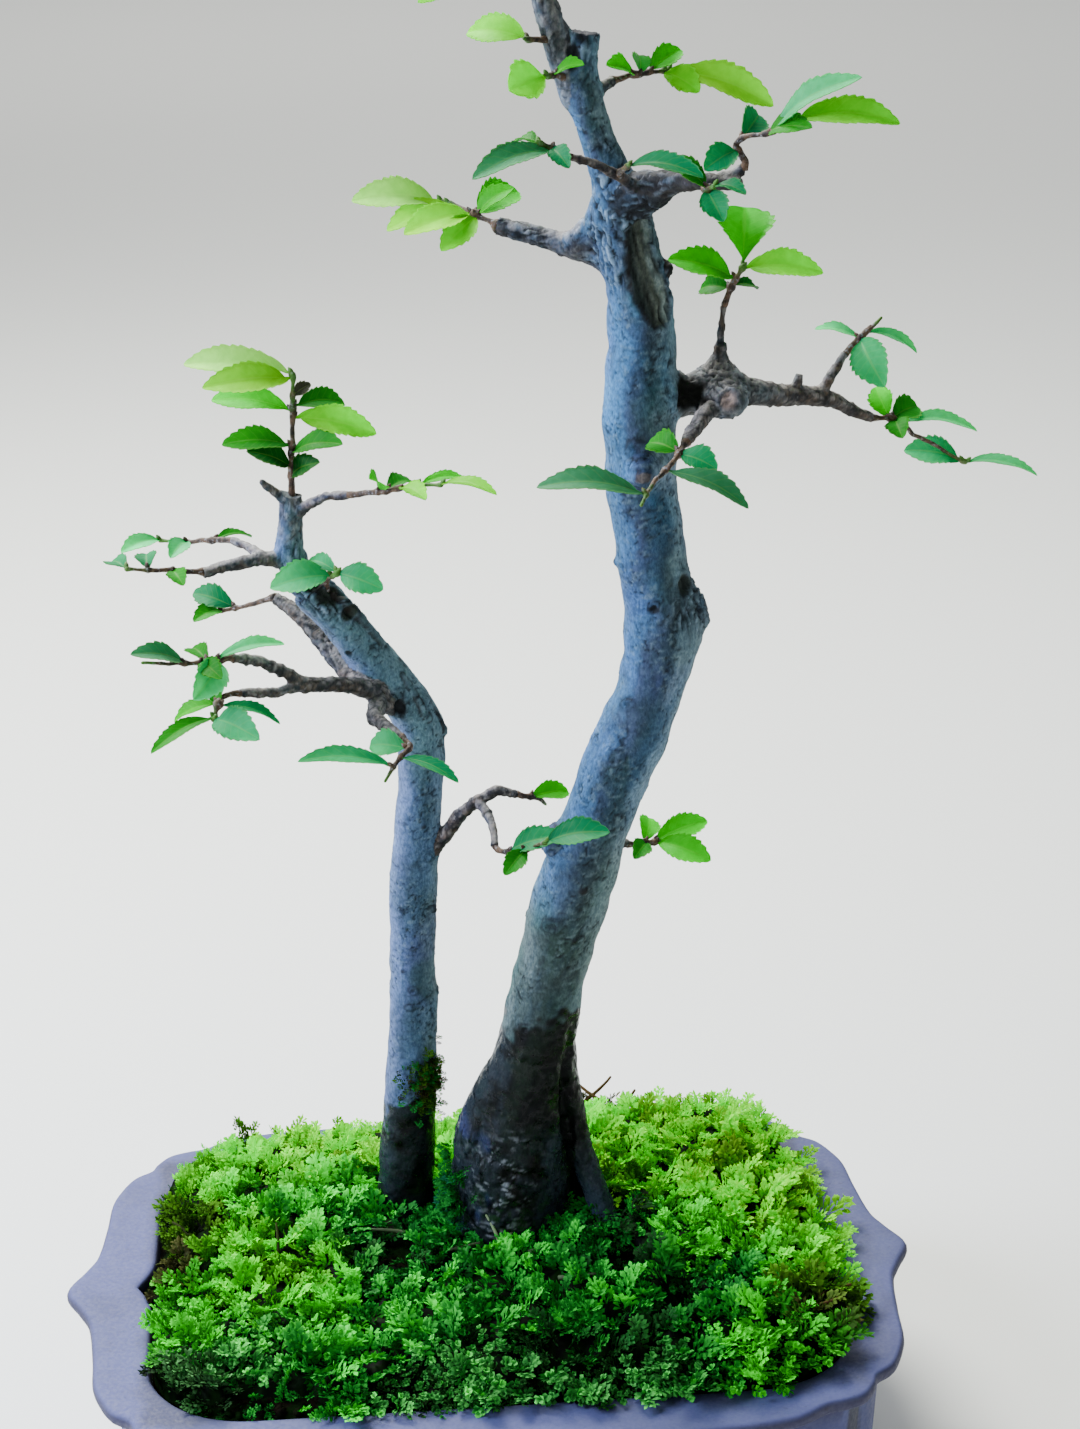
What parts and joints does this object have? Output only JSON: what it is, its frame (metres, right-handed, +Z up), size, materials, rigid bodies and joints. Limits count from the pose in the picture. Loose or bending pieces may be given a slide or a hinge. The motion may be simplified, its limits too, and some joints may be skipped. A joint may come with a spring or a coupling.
{
  "type": "elm bonsai",
  "caption": "Two-trunk elm bonsai with sparse young leaf sprays, growing in moss-covered soil in a low lobed unglazed clay pot.",
  "frame": {"origin": "on the surface the pot stands on, under the middle of the whole bonsai's bounding box", "axes": "+Z up the trunks, X along the pot's long side with the drooping branch at +X, the viewer's side at -Y"},
  "size_m": [0.2324, 0.143, 0.3699],
  "materials": {
    "pot_clay": "matte unglazed clay, lilac grey",
    "drain_mesh": "matte black plastic mesh",
    "soil": "matte damp crumbly soil",
    "moss": "matte feathery moss, bright green",
    "bark": "matte fissured bark, blue-grey",
    "leaf": "satin thin toothed leaf, yellow-green to teal"
  },
  "bodies": {
    "root": {"pot": "pot_clay", "drain_screen_right": "drain_mesh", "drain_screen_left": "drain_mesh", "soil": "soil", "moss": "moss", "trunk_large": "bark", "trunk_small": "bark", "spray_small_top": "leaf", "spray_small_cut": "leaf", "spray_small_right": "leaf", "spray_small_left_top": "leaf", "spray_small_left": "leaf", "spray_small_mid_left": "leaf", "spray_small_low_left": "leaf", "spray_small_lowest": "leaf", "spray_small_front": "leaf", "spray_low_right_twig": "leaf", "spray_low_front_twig": "leaf", "spray_back_twig": "leaf", "spray_right_up": "leaf", "spray_right_shoot": "leaf", "spray_right_front": "leaf", "spray_right_end": "leaf", "spray_left_end": "leaf", "spray_upper_front": "leaf", "spray_upper_front_leaf": "leaf", "spray_upper_right_low": "leaf", "spray_upper_right": "leaf", "spray_upper_twig": "leaf", "spray_leader_low": "leaf", "spray_leader_left": "leaf", "spray_leader_top": "leaf", "spray_leader_top_left": "leaf"}
  },
  "joints": []
}
